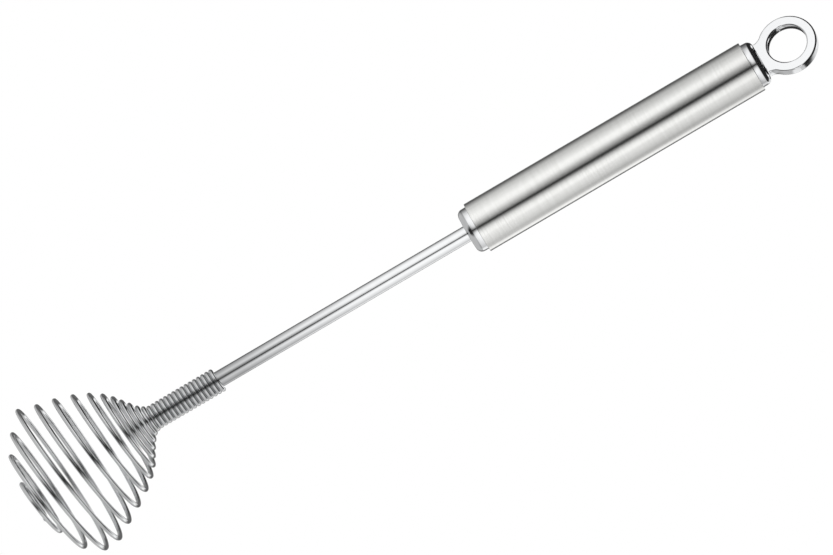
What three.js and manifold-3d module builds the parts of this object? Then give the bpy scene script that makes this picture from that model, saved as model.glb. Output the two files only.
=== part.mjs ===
// Spiral whisk: a steel tube handle closed by two pressed-in caps, a flat hanging eye at the rear,
// a solid shaft at the front, and one springy wire wound on the shaft and then out into a bell.
// Millimetres, +Z up. The origin is the centre of the eye's hole, and the tool hangs down from it.

import * as THREE from 'three';
import { mergeVertices } from 'three/addons/utils/BufferGeometryUtils.js';
import Module from 'manifold-3d';

// Handle tube
const TUBE_DIAMETER = 16;
const TUBE_WALL = 0.8;
const TUBE_LENGTH = 94.2;

// End caps: pressed cups whose skirts plug into the tube
const CAP_STAND_OUT = 3.3;
const CAP_EDGE_RADIUS = 1.8;
const CAP_END_WALL = 1.2;
const CAP_SIDE_WALL = 1;
const CAP_PLUG_DEPTH = 9;
const CAP_TUBE_CLEARANCE = 0.1;

// Hanging eye: a flat plate whose neck stands on the rear cap, with a thinner tang through the cap
const EYE_HOLE_DIAMETER = 12;
const EYE_RING_WIDTH = 3;
const EYE_THICKNESS = 3.1;
const EYE_NECK_FILLET = 3.5;
const EYE_NECK_STRAIGHT = 0.1;
const EYE_NECK_MARGIN = 1.7;
const TANG_SHOULDER = 1.9;
const TANG_THICKNESS = 1.6;
const TANG_STAND_IN = 3;
const TANG_ROOT = 2;

// Shaft
const SHAFT_DIAMETER = 5;
const SHAFT_BARE_LENGTH = 85.2;
const SHAFT_STAND_IN = 4;
const SHAFT_END_CHAMFER = 0.4;

// Seats and welds
const SEAT_CLEARANCE = 0.15;
const SLOT_CLEARANCE = 0.3;
const WELD_LEG = 1.4;
const WELD_CORNER_RADIUS = 1;

// Wire: wound close on the shaft, then flaring into the bell, measured to the wire's centre line
const WIRE_DIAMETER = 1.4;
const WIRE_SHAFT_CLEARANCE = 0.1;
const GRIP_TURNS = 11.5;
const GRIP_GAP = 0.48;
const FLARE_GAP = 0.08;
const BELL_GAP = 3.7;
const TIP_PITCH = 0.3;

// Sizes of single turns, from the first one off the shaft to the loop at the tip
const NECK_RADIUS = 3.85;
const FLARE_ROOT_RADIUS = 4.95;
const FLARE_RADIUS = 11;
const SHOULDER_RADIUS = 20.3;
const BELL_RADIUS = 24.2;
const NOSE_RADIUS = 20.6;
const NOSE_INNER_RADIUS = 15.4;
const TIP_TURN_RADIUS = 7.1;
const TIP_LOOP_RADIUS = 5.4;

// The bell leans to one side, more and more towards its tip
const DROOP_ANGLE = THREE.MathUtils.degToRad(6.5);
const DROOP_BEARING = THREE.MathUtils.degToRad(30);

// Facets
const ROUND_SEGMENTS = 36;
const ARC_DIVISIONS = 3;
const EYE_DIVISIONS = 14;
const GRIP_STEPS = 12;
const BELL_STEPS = 24;
const WIRE_SIDES = 5;

// Places along the axis, worked down from the eye's hole
const tubeRadius = TUBE_DIAMETER / 2;
const tubeBoreRadius = tubeRadius - TUBE_WALL;
const capRadius = tubeBoreRadius - CAP_TUBE_CLEARANCE;
const capBoreRadius = capRadius - CAP_SIDE_WALL;
const capDepth = CAP_STAND_OUT + CAP_PLUG_DEPTH;
const capEdgeRadius = Math.min(CAP_EDGE_RADIUS, CAP_STAND_OUT);

const eyeHoleRadius = EYE_HOLE_DIAMETER / 2;
const eyeRadius = eyeHoleRadius + EYE_RING_WIDTH;
const neckHalfWidth = capRadius - EYE_NECK_MARGIN;
const filletX = neckHalfWidth + EYE_NECK_FILLET;
const filletZ = -Math.sqrt((eyeRadius + EYE_NECK_FILLET) ** 2 - filletX ** 2);
const shoulderZ = filletZ - EYE_NECK_STRAIGHT;
const tangHalfWidth = neckHalfWidth - TANG_SHOULDER;
const tangHalfThickness = TANG_THICKNESS / 2;

const rearCapZ = shoulderZ - SEAT_CLEARANCE;
const tubeRearZ = rearCapZ - CAP_STAND_OUT;
const tubeFrontZ = tubeRearZ - TUBE_LENGTH;
const frontCapZ = tubeFrontZ - CAP_STAND_OUT;
const gripTopZ = frontCapZ - SHAFT_BARE_LENGTH;

const shaftRadius = SHAFT_DIAMETER / 2;
const shaftHoleRadius = shaftRadius + SEAT_CLEARANCE;
const wireRadius = WIRE_DIAMETER / 2;
const gripPitch = WIRE_DIAMETER + GRIP_GAP;
const shaftEndZ = gripTopZ - wireRadius - GRIP_TURNS * gripPitch;
const shaftTopZ = frontCapZ + CAP_END_WALL + SHAFT_STAND_IN;

// Turns of the wire are counted from the shaft's end, with the turns on the shaft below zero.
// A facet's middle lies nearer the axis than its ends, so the seat is widened by that much.
const seatRadius = (shaftRadius + WIRE_SHAFT_CLEARANCE) / Math.cos(Math.PI / GRIP_STEPS) + wireRadius;
const bellPitch = WIRE_DIAMETER + BELL_GAP;
const flarePitch = WIRE_DIAMETER + FLARE_GAP;

const WINDING_RADII = [
  { turn: 0, size: seatRadius },
  { turn: 1, size: NECK_RADIUS },
  { turn: 2, size: FLARE_ROOT_RADIUS },
  { turn: 5, size: FLARE_RADIUS },
  { turn: 9, size: SHOULDER_RADIUS },
  { turn: 11, size: BELL_RADIUS },
  { turn: 12, size: NOSE_RADIUS },
  { turn: 13, size: NOSE_INNER_RADIUS },
  { turn: 14, size: TIP_TURN_RADIUS },
  { turn: 14.5, size: TIP_LOOP_RADIUS },
];
const WINDING_PITCHES = [
  { turn: 0, size: gripPitch },
  { turn: 3, size: flarePitch },
  { turn: 5, size: flarePitch },
  { turn: 8.5, size: bellPitch },
  { turn: 11.75, size: bellPitch },
  { turn: 14.5, size: TIP_PITCH },
];
const lastTurn = WINDING_RADII.at(-1).turn;

const brushedSteel = { color: 0xbfc0bf, roughness: 0.36, metalness: 1 };
const polishedSteel = { color: 0xd8dadb, roughness: 0.14, metalness: 1 };
const weldSteel = { color: 0x8f8b86, roughness: 0.55, metalness: 1 };

const wasm = await Module();
wasm.setup();

// A solid for joining and cutting, from a closed geometry
function solidOf(geometry) {
  const bare = geometry.index ? geometry.toNonIndexed() : geometry.clone();
  bare.deleteAttribute('normal');
  bare.deleteAttribute('uv');
  const merged = mergeVertices(bare);
  return new wasm.Manifold(new wasm.Mesh({
    numProp: 3,
    vertProperties: Float32Array.from(merged.attributes.position.array),
    triVerts: Uint32Array.from(merged.index.array),
  }));
}

function geometryOf(solid) {
  const mesh = solid.getMesh();
  const geometry = new THREE.BufferGeometry();
  geometry.setAttribute('position', new THREE.BufferAttribute(Float32Array.from(mesh.vertProperties), 3));
  geometry.setIndex(Array.from(mesh.triVerts));
  geometry.computeVertexNormals();
  return geometry;
}

function named(name, geometry, finish) {
  const mesh = new THREE.Mesh(geometry, new THREE.MeshStandardMaterial(finish));
  mesh.name = name;
  return mesh;
}

// Turns a profile of (radius, height) points about Z
function turned(points) {
  return new THREE.LatheGeometry(points, ROUND_SEGMENTS).rotateX(Math.PI / 2);
}

function ring(innerRadius, outerRadius, lowZ, highZ) {
  return turned([
    new THREE.Vector2(innerRadius, lowZ),
    new THREE.Vector2(outerRadius, lowZ),
    new THREE.Vector2(outerRadius, highZ),
    new THREE.Vector2(innerRadius, highZ),
    new THREE.Vector2(innerRadius, lowZ),
  ]);
}

// A cap's cup, with its end face at height 0 looking up and its skirt below.
// The end face is open inside holeRadius, and whole where that is 0.
function capCup(holeRadius) {
  const profile = new THREE.Path();
  profile.moveTo(holeRadius, -CAP_END_WALL);
  profile.lineTo(capBoreRadius, -CAP_END_WALL);
  profile.lineTo(capBoreRadius, -capDepth);
  profile.lineTo(capRadius, -capDepth);
  profile.lineTo(capRadius, -capEdgeRadius);
  profile.absarc(capRadius - capEdgeRadius, -capEdgeRadius, capEdgeRadius, 0, Math.PI / 2, false);
  profile.lineTo(holeRadius, 0);
  if (holeRadius > 0) {
    profile.lineTo(holeRadius, -CAP_END_WALL);
  }
  return turned(profile.getPoints(ARC_DIVISIONS));
}

function makeTube() {
  return named('handle_tube', ring(tubeBoreRadius, tubeRadius, tubeFrontZ, tubeRearZ), brushedSteel);
}

function makeFrontCap() {
  const cap = named('front_cap', capCup(shaftHoleRadius), polishedSteel);
  cap.rotation.x = Math.PI;
  cap.position.z = frontCapZ;
  return cap;
}

function makeRearCap() {
  const slot = new THREE.BoxGeometry(
    2 * (tangHalfWidth + SLOT_CLEARANCE),
    2 * (tangHalfThickness + SLOT_CLEARANCE),
    2 * capDepth,
  );
  const cap = named('rear_cap', geometryOf(solidOf(capCup(0)).subtract(solidOf(slot))), polishedSteel);
  cap.position.z = rearCapZ;
  return cap;
}

// The eye's outline in its own plane: ring, two fillets and the neck down to its square shoulder
function eyeOutline() {
  const filletAngle = Math.atan2(-filletZ, -filletX);
  const ringAngle = Math.atan2(filletZ, filletX);
  const outline = new THREE.Shape();
  outline.moveTo(neckHalfWidth, shoulderZ);
  outline.lineTo(neckHalfWidth, filletZ);
  outline.absarc(filletX, filletZ, EYE_NECK_FILLET, Math.PI, filletAngle, true);
  outline.absarc(0, 0, eyeRadius, ringAngle, Math.PI - ringAngle, false);
  outline.absarc(-filletX, filletZ, EYE_NECK_FILLET, Math.PI - filletAngle, 0, true);
  outline.lineTo(-neckHalfWidth, shoulderZ);
  outline.closePath();
  const hole = new THREE.Path();
  hole.absarc(0, 0, eyeHoleRadius, 0, 2 * Math.PI, true);
  outline.holes.push(hole);
  return outline;
}

function makeEye() {
  const plate = new THREE.ExtrudeGeometry(eyeOutline(), {
    depth: EYE_THICKNESS,
    bevelEnabled: false,
    curveSegments: EYE_DIVISIONS,
  }).translate(0, 0, -EYE_THICKNESS / 2);
  const tangTop = shoulderZ + TANG_ROOT;
  const tangEnd = rearCapZ - CAP_END_WALL - TANG_STAND_IN;
  const tang = new THREE.BoxGeometry(2 * tangHalfWidth, tangTop - tangEnd, TANG_THICKNESS)
    .translate(0, (tangTop + tangEnd) / 2, 0);
  const eye = named('hanging_eye', geometryOf(solidOf(plate).add(solidOf(tang))), polishedSteel);
  eye.rotation.x = Math.PI / 2;
  return eye;
}

function roundedRectangle(halfWidth, halfHeight, cornerRadius) {
  const r = Math.min(cornerRadius, halfWidth, halfHeight);
  const shape = new THREE.Shape();
  shape.absarc(halfWidth - r, -halfHeight + r, r, -Math.PI / 2, 0, false);
  shape.absarc(halfWidth - r, halfHeight - r, r, 0, Math.PI / 2, false);
  shape.absarc(-halfWidth + r, halfHeight - r, r, Math.PI / 2, Math.PI, false);
  shape.absarc(-halfWidth + r, -halfHeight + r, r, Math.PI, 1.5 * Math.PI, false);
  shape.closePath();
  return shape;
}

// The collar of weld round the tang, on the inside of the rear cap
function makeEyeWeld() {
  const boreHalfWidth = tangHalfWidth + SEAT_CLEARANCE;
  const boreHalfHeight = tangHalfThickness + SEAT_CLEARANCE;
  const collar = roundedRectangle(boreHalfWidth + WELD_LEG, boreHalfHeight + WELD_LEG, WELD_CORNER_RADIUS);
  const bore = new THREE.Path();
  bore.moveTo(-boreHalfWidth, -boreHalfHeight);
  bore.lineTo(-boreHalfWidth, boreHalfHeight);
  bore.lineTo(boreHalfWidth, boreHalfHeight);
  bore.lineTo(boreHalfWidth, -boreHalfHeight);
  bore.closePath();
  collar.holes.push(bore);
  const weld = named('eye_weld', new THREE.ExtrudeGeometry(collar, {
    depth: WELD_LEG,
    bevelEnabled: false,
    curveSegments: ARC_DIVISIONS,
  }), weldSteel);
  weld.position.z = rearCapZ - CAP_END_WALL - SEAT_CLEARANCE - WELD_LEG;
  return weld;
}

function makeShaft() {
  const rod = turned([
    new THREE.Vector2(0, shaftEndZ),
    new THREE.Vector2(shaftRadius - SHAFT_END_CHAMFER, shaftEndZ),
    new THREE.Vector2(shaftRadius, shaftEndZ + SHAFT_END_CHAMFER),
    new THREE.Vector2(shaftRadius, shaftTopZ),
    new THREE.Vector2(0, shaftTopZ),
  ]);
  return named('shaft', rod, polishedSteel);
}

// The fillet of weld round the shaft, on the inside of the front cap
function makeShaftWeld() {
  const leg = Math.min(WELD_LEG, capBoreRadius - shaftHoleRadius - SEAT_CLEARANCE);
  const footZ = frontCapZ + CAP_END_WALL + SEAT_CLEARANCE;
  const fillet = turned([
    new THREE.Vector2(shaftHoleRadius, footZ),
    new THREE.Vector2(shaftHoleRadius + leg, footZ),
    new THREE.Vector2(shaftHoleRadius, footZ + leg),
    new THREE.Vector2(shaftHoleRadius, footZ),
  ]);
  return named('shaft_weld', fillet, weldSteel);
}

// The number of the station that a turn comes after, short of the last one
function stationBefore(stations, turn) {
  const next = stations.findIndex((station) => station.turn > turn);
  return next < 0 ? stations.length - 2 : Math.max(0, next - 1);
}

// The size at a turn on straight lines between the stations, and the first one's size before them
function straightAt(stations, turn) {
  const k = stationBefore(stations, turn);
  const [start, end] = [stations[k], stations[k + 1]];
  const f = Math.max(0, (turn - start.turn) / (end.turn - start.turn));
  return THREE.MathUtils.lerp(start.size, end.size, f);
}

// The size at a turn on a smooth curve through the stations
function smoothAt(stations, turn) {
  const k = stationBefore(stations, turn);
  const [start, end] = [stations[k], stations[k + 1]];
  const slopeAt = (n) => {
    const before = stations[Math.max(0, n - 1)];
    const after = stations[Math.min(stations.length - 1, n + 1)];
    return (after.size - before.size) / (after.turn - before.turn);
  };
  const span = end.turn - start.turn;
  const f = (turn - start.turn) / span;
  const startPull = f * (1 - f) ** 2 * span * slopeAt(k);
  const endPull = f ** 2 * (f - 1) * span * slopeAt(k + 1);
  return THREE.MathUtils.lerp(start.size, end.size, f * f * (3 - 2 * f)) + startPull + endPull;
}

// The wire's stops from its top end to its tip, each with its centre and its outward direction.
// The helix is right-handed and its own axis leans over below the shaft's end.
function windWire() {
  const leanSide = new THREE.Vector3(Math.cos(DROOP_BEARING), Math.sin(DROOP_BEARING), 0);
  const acrossSide = new THREE.Vector3(-leanSide.y, leanSide.x, 0);
  const turns = [];
  for (let step = 0; step < GRIP_TURNS * GRIP_STEPS; step += 1) {
    turns.push(step / GRIP_STEPS - GRIP_TURNS);
  }
  for (let step = 0; step <= lastTurn * BELL_STEPS; step += 1) {
    turns.push(step / BELL_STEPS);
  }
  const axisPoint = new THREE.Vector3(0, 0, gripTopZ - wireRadius);
  let previous = turns[0];
  return turns.map((turn) => {
    const lean = DROOP_ANGLE * Math.sin((Math.PI / 2) * Math.max(0, turn / lastTurn));
    const advance = (turn - previous) * straightAt(WINDING_PITCHES, (turn + previous) / 2);
    previous = turn;
    axisPoint.addScaledVector(leanSide, advance * Math.sin(lean));
    axisPoint.z -= advance * Math.cos(lean);
    const radius = turn > 0 ? smoothAt(WINDING_RADII, turn) : seatRadius;
    const angle = Math.PI * (1 - 2 * turn);
    const outward = new THREE.Vector3()
      .addScaledVector(leanSide, Math.cos(angle) * Math.cos(lean))
      .addScaledVector(acrossSide, Math.sin(angle));
    outward.z += Math.cos(angle) * Math.sin(lean);
    return { turn, outward, centre: axisPoint.clone().addScaledVector(outward, radius) };
  });
}

// The least clear gap between one turn of the wire and another, on the wire's stops
const HALF_TURN = 0.5;
function leastGap(stops) {
  let least = Infinity;
  stops.forEach((stop, i) => {
    for (let k = i + 1; k < stops.length; k += 1) {
      if (stops[k].turn - stop.turn > HALF_TURN) {
        least = Math.min(least, stop.centre.distanceTo(stops[k].centre) - WIRE_DIAMETER);
      }
    }
  });
  return least;
}

// One closed tube round the stops, whose two ends run on straight for one wire diameter
function makeWire() {
  const stops = windWire();
  console.log(`whisk_spiral: least gap to itself ${leastGap(stops).toFixed(2)} mm`);
  const startRun = stops[0].centre.clone().sub(stops[1].centre).setLength(WIRE_DIAMETER);
  const endRun = stops.at(-1).centre.clone().sub(stops.at(-2).centre).setLength(WIRE_DIAMETER);
  const path = [
    { centre: stops[0].centre.clone().add(startRun), outward: stops[0].outward },
    ...stops,
    { centre: stops.at(-1).centre.clone().add(endRun), outward: stops.at(-1).outward },
  ];
  const positions = [];
  path.forEach((stop, i) => {
    const before = path[Math.max(0, i - 1)].centre;
    const after = path[Math.min(path.length - 1, i + 1)].centre;
    const along = after.clone().sub(before).normalize();
    const side = along.clone().cross(stop.outward).normalize();
    const out = side.clone().cross(along);
    for (let corner = 0; corner < WIRE_SIDES; corner += 1) {
      const angle = (2 * Math.PI * corner) / WIRE_SIDES;
      const point = stop.centre.clone()
        .addScaledVector(out, wireRadius * Math.cos(angle))
        .addScaledVector(side, wireRadius * Math.sin(angle));
      positions.push(point.x, point.y, point.z);
    }
  });
  const faces = [];
  for (let i = 0; i < path.length - 1; i += 1) {
    for (let corner = 0; corner < WIRE_SIDES; corner += 1) {
      const next = (corner + 1) % WIRE_SIDES;
      const a = i * WIRE_SIDES + corner;
      const b = i * WIRE_SIDES + next;
      const c = a + WIRE_SIDES;
      const d = b + WIRE_SIDES;
      faces.push(a, b, d, a, d, c);
    }
  }
  const lastRing = (path.length - 1) * WIRE_SIDES;
  for (let corner = 1; corner < WIRE_SIDES - 1; corner += 1) {
    faces.push(0, corner + 1, corner);
    faces.push(lastRing, lastRing + corner, lastRing + corner + 1);
  }
  const geometry = new THREE.BufferGeometry();
  geometry.setAttribute('position', new THREE.Float32BufferAttribute(positions, 3));
  geometry.setIndex(faces);
  geometry.computeVertexNormals();
  return named('whisk_spiral', geometry, polishedSteel);
}

const whisk = new THREE.Group();
whisk.add(
  makeTube(),
  makeFrontCap(),
  makeRearCap(),
  makeEye(),
  makeEyeWeld(),
  makeShaft(),
  makeShaftWeld(),
  makeWire(),
);

export default whisk;
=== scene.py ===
"""Spiral whisk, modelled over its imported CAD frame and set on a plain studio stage.

A brushed steel tube with two polished caps, a flat hanging eye and a solid shaft, and one springy wire that
is wound close on the shaft and then out into a bell. Lengths are in metres, in the frame of the CAD model:
+Z runs up the tool from the bell to the eye, and the origin is the middle of the eye's hole.
"""

import math

import bmesh
import bpy
from bpy.props import FloatProperty, FloatVectorProperty, PointerProperty
from mathutils import Matrix, Vector


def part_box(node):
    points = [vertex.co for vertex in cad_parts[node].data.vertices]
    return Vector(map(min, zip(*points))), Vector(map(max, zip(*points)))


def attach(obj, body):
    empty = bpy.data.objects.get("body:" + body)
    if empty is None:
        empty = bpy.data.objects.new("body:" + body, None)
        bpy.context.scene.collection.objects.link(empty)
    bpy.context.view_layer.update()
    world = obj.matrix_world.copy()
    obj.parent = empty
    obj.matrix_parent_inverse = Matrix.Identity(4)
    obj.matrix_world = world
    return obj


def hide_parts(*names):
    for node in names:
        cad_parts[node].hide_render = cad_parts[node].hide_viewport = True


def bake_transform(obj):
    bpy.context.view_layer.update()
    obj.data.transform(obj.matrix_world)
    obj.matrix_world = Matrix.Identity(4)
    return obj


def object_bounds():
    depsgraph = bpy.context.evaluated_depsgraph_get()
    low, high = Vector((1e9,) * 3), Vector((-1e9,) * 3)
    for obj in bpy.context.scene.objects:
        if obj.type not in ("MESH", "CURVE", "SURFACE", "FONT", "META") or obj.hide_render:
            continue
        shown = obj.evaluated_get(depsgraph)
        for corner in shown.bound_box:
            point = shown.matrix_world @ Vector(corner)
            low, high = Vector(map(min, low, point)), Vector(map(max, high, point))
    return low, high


bl_info = {
    "name": "Spiral Whisk",
    "version": (1, 0, 0),
    "blender": (4, 5, 0),
    "location": "View3D > Sidebar > Whisk",
    "description": "Models a steel spiral whisk over its CAD frame and sets it on a studio stage",
    "category": "Object",
}

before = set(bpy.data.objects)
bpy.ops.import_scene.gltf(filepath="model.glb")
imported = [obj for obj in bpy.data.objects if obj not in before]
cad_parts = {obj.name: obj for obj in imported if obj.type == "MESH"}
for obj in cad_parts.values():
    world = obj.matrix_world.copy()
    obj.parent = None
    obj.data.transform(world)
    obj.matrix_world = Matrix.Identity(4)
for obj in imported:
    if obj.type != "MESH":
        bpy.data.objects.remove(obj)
CAD_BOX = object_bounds()

MM = 0.001
TOUCH = 0.01 * MM
MERGE = TOUCH / 10

# Facets of the finished pieces
ROUND_SIDES = 96
EYE_SIDES = 192
SHAFT_SIDES = 64
TENT_SIDES = 64
TENT_RINGS = 32
EDGE_STEPS = 3
CAP_EDGE_STEPS = 8
FILLET_STEPS = 14
GRIP_STEPS = 32
BELL_STEPS = 64
WIRE_ROUNDING = 6
SMOOTH_ANGLE = math.radians(35)
SHARP_ANGLE = math.radians(40)
FLAT_FACING = 0.99

# Width of the border round the eye's faces, in roundings of its edges
EYE_BORDER = 1.2

# How far each turn of the wire hangs out, as (turn, share of the sway) stations
SWAY_SHARES = (
    (0, 0.0), (6, -0.3), (8, -0.3), (10, 0.1), (11, 0.2), (12.25, 1.4), (13.25, 0.7), (14.5, 1.0),
)

# What the steel mirrors: the panels of a light tent round the tool, each given as (degrees, level) stops.
# "round" is the bearing from the camera's side, plus to the camera's right, "rise" is up and down from the
# tool's middle, and "softbox" is away from the middle of the round softbox
WALL_FOOT = (
    (-90, 0.0), (-33, 0.0), (-24, 0.1), (-16, 0.25), (-11, 0.38), (-8.3, 0.52), (-7.2, 0.74), (-5.9, 0.92),
    (-4, 1.0),
)
OPENING = {
    "round": (
        (-180, 0.3), (-102, 0.3), (-84, 0.36), (-67, 0.2), (-53, 0.0), (-44, 0.0), (-38, 0.08), (-32, 0.3),
        (-25.7, 0.57), (-19, 0.77), (-12.8, 0.9), (-6.4, 0.94), (0, 0.9), (6.4, 0.95), (12.8, 0.68),
        (19, 0.5), (25.7, 0.2), (32, 0.08), (38, 0.0), (45, 0.06), (53, 0.2), (67, 0.25), (84, 0.32),
        (102, 0.42), (180, 0.42),
    ),
    "rise": (
        (-90, 0.55), (-5.5, 0.55), (-4.6, 0.0), (0.2, 0.0), (1.2, 0.8), (2, 1.0), (9, 1.0), (9.8, 0.7),
        (10.6, 0.0), (90, 0.0),
    ),
}
WALLS = {
    "round": (
        (-180, 0.0), (-112, 0.0), (-100, 0.62), (-90, 0.8), (-84, 0.88), (-60, 1.0), (-26, 0.97),
        (-19, 0.87), (-13, 0.7), (-9, 0.52), (-5, 0.27), (-1, 0.03), (2, 0.03), (6, 0.25), (10, 0.54),
        (14, 0.77), (19, 0.93), (26, 1.0), (42, 1.0), (60, 0.9), (84, 0.74), (98, 0.62), (106, 0.4),
        (112, 0.0), (180, 0.0),
    ),
    "rise": (
        *WALL_FOOT, (3, 1.0), (10, 1.0), (13, 0.95), (15, 0.6), (17, 0.2), (19, 0.04), (21, 0.0), (90, 0.0),
    ),
}
TABLE = {
    "rise": ((-90, 0.46), (-32, 0.46), (-24, 0.38), (-16, 0.22), (-11, 0.1), (-8, 0.0), (90, 0.0)),
}
FRONT_GAP = {
    "round": ((-180, 0.0), (-36, 0.0), (-14, 1.0), (14, 1.0), (36, 0.0), (180, 0.0)),
    "rise": ((-90, 0.0), (-78, 0.0), (-62, 1.0), (-13, 1.0), (-8.5, 0.0), (90, 0.0)),
}
SIDES = {
    "round": (
        (-180, 0.1), (-152, 0.1), (-142, 0.07), (-125, 0.27), (-112, 0.44), (-100, 0.08), (-97, 0.0),
        (98, 0.0), (106, 0.2), (112, 0.52), (118, 0.68), (124, 0.82), (132, 0.9), (138, 0.98), (146, 0.4),
        (152, 0.1), (180, 0.1),
    ),
    "rise": (*WALL_FOOT, (7.5, 1.0), (8.6, 0.7), (15, 0.7), (18, 0.0), (90, 0.0)),
}
BACK = {
    "round": (
        (-180, 0.8), (-172, 0.0), (126, 0.0), (131, 0.1), (136, 0.48), (146, 0.72), (166, 0.72), (180, 0.8),
    ),
    "rise": ((-90, 0.0), (10, 0.0), (14, 1.0), (38, 1.0), (43, 0.0), (90, 0.0)),
}
SOFTBOX = {"softbox": ((0, 1.0), (29.5, 1.0), (34.5, 0.02), (180, 0.02))}
SOFTBOX_RISE = math.radians(63.5)
SOFTBOX_MIDDLE = (-math.cos(SOFTBOX_RISE), 0.0, math.sin(SOFTBOX_RISE))


def linear(hex_colour):
    """The linear RGBA of an sRGB hex colour."""
    channels = [int(hex_colour[i:i + 2], 16) / 255 for i in (1, 3, 5)]
    return tuple(c / 12.92 if c <= 0.04045 else ((c + 0.055) / 1.055) ** 2.4 for c in channels) + (1.0,)


class WhiskHandleSizes(bpy.types.PropertyGroup):
    """Sizes of the tube, the caps, the eye and the shaft that the CAD frame doesn't give."""

    tube_wall: FloatProperty(
        name="Tube Wall", description="Thickness of the tube's steel", default=0.8 * MM, unit="LENGTH",
        precision=5)
    tube_lip: FloatProperty(
        name="Tube Lip", description="Rounding of the tube's cut ends", default=0.15 * MM, unit="LENGTH",
        precision=5)
    cap_edge: FloatProperty(
        name="Cap Edge", description="Radius of the caps' rounded end edge", default=1.8 * MM, unit="LENGTH",
        precision=5)
    cap_draft: FloatProperty(
        name="Cap Draft", description="Taper of the caps' sides outside the tube", default=math.radians(2),
        subtype="ANGLE")
    cap_wall: FloatProperty(
        name="Cap Wall", description="Thickness of the caps' steel", default=1.0 * MM, unit="LENGTH",
        precision=5)
    hole_edge: FloatProperty(
        name="Hole Edge", description="Rounding of the shaft's hole and the tang's slot", default=0.12 * MM,
        unit="LENGTH", precision=5)
    seat_clearance: FloatProperty(
        name="Seat Clearance", description="Gap round the shaft and the tang where they pass through a cap",
        default=0.15 * MM, unit="LENGTH", precision=5)
    shaft_chamfer: FloatProperty(
        name="Shaft Chamfer", description="Chamfer on the shaft's ends", default=0.4 * MM, unit="LENGTH",
        precision=5)
    eye_hole: FloatProperty(
        name="Eye Hole", description="Diameter of the eye's hole", default=12 * MM, unit="LENGTH",
        precision=4)
    eye_fillet: FloatProperty(
        name="Eye Fillet", description="Radius where the eye's ring runs into its neck", default=3.5 * MM,
        unit="LENGTH", precision=5)
    eye_neck: FloatProperty(
        name="Eye Neck", description="Width of the eye's neck on the rear cap", default=10.8 * MM,
        unit="LENGTH", precision=4)
    eye_edge: FloatProperty(
        name="Eye Edge", description="Rounding of the eye's polished edges", default=0.4 * MM, unit="LENGTH",
        precision=5)
    tang_width: FloatProperty(
        name="Tang Width", description="Width of the tang through the rear cap", default=7 * MM,
        unit="LENGTH", precision=4)
    tang_thickness: FloatProperty(
        name="Tang Thickness", description="Thickness of the tang through the rear cap", default=1.6 * MM,
        unit="LENGTH", precision=5)


class WhiskWireSizes(bpy.types.PropertyGroup):
    """Sizes of the wire's windings, with radii to the middle of the wire."""

    diameter: FloatProperty(
        name="Wire Diameter", description="Diameter of the wire", default=1.4 * MM, unit="LENGTH",
        precision=5)
    grip_turns: FloatProperty(
        name="Grip Turns", description="Turns that are wound close on the shaft", default=15.5)
    grip_pitch: FloatProperty(
        name="Grip Pitch", description="Rise of one turn on the shaft, where the turns all but touch",
        default=1.42 * MM, unit="LENGTH", precision=5)
    flare_pitch: FloatProperty(
        name="Flare Pitch", description="Rise of one turn below the shaft's end", default=1.45 * MM,
        unit="LENGTH", precision=5)
    bell_pitch: FloatProperty(
        name="Bell Pitch", description="Rise of one turn in the wide part of the bell", default=5.18 * MM,
        unit="LENGTH", precision=5)
    tip_pitch: FloatProperty(
        name="Tip Pitch", description="Rise of one turn in the loop at the tip", default=0.3 * MM,
        unit="LENGTH", precision=5)
    neck: FloatProperty(
        name="Neck", description="Radius one turn below the shaft", default=3.84 * MM, unit="LENGTH",
        precision=5)
    flare_root: FloatProperty(
        name="Flare Root", description="Radius two turns below the shaft", default=4.93 * MM, unit="LENGTH",
        precision=5)
    flare: FloatProperty(
        name="Flare", description="Radius half way out to the bell", default=11 * MM, unit="LENGTH",
        precision=5)
    shoulder: FloatProperty(
        name="Shoulder", description="Radius where the bell grows wide", default=20.45 * MM, unit="LENGTH",
        precision=5)
    upper_bell: FloatProperty(
        name="Upper Bell", description="Radius of the turn above the widest", default=22.3 * MM,
        unit="LENGTH", precision=5)
    bell: FloatProperty(
        name="Bell", description="Radius of the widest turn", default=24.5 * MM, unit="LENGTH", precision=5)
    nose: FloatProperty(
        name="Nose", description="Radius of the turn past the widest", default=20.9 * MM, unit="LENGTH",
        precision=5)
    nose_inner: FloatProperty(
        name="Inner Nose", description="Radius of the second turn past the widest", default=15.4 * MM,
        unit="LENGTH", precision=5)
    tip_turn: FloatProperty(
        name="Tip Turn", description="Radius where the wire turns into its tip", default=6.8 * MM,
        unit="LENGTH", precision=5)
    tip_loop: FloatProperty(
        name="Tip Loop", description="Radius of the loop at the tip", default=5.4 * MM, unit="LENGTH",
        precision=5)
    lean: FloatProperty(
        name="Lean", description="Lean of the bell at its tip", default=math.radians(5.75), subtype="ANGLE")
    sway: FloatProperty(
        name="Sway", description="How far the widest turns and the tip hang out to the side of the lean",
        default=1 * MM, unit="LENGTH", precision=5)
    bearing: FloatProperty(
        name="Bearing", description="Side that the bell leans to, turned from +X", default=math.radians(30),
        subtype="ANGLE")


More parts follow.
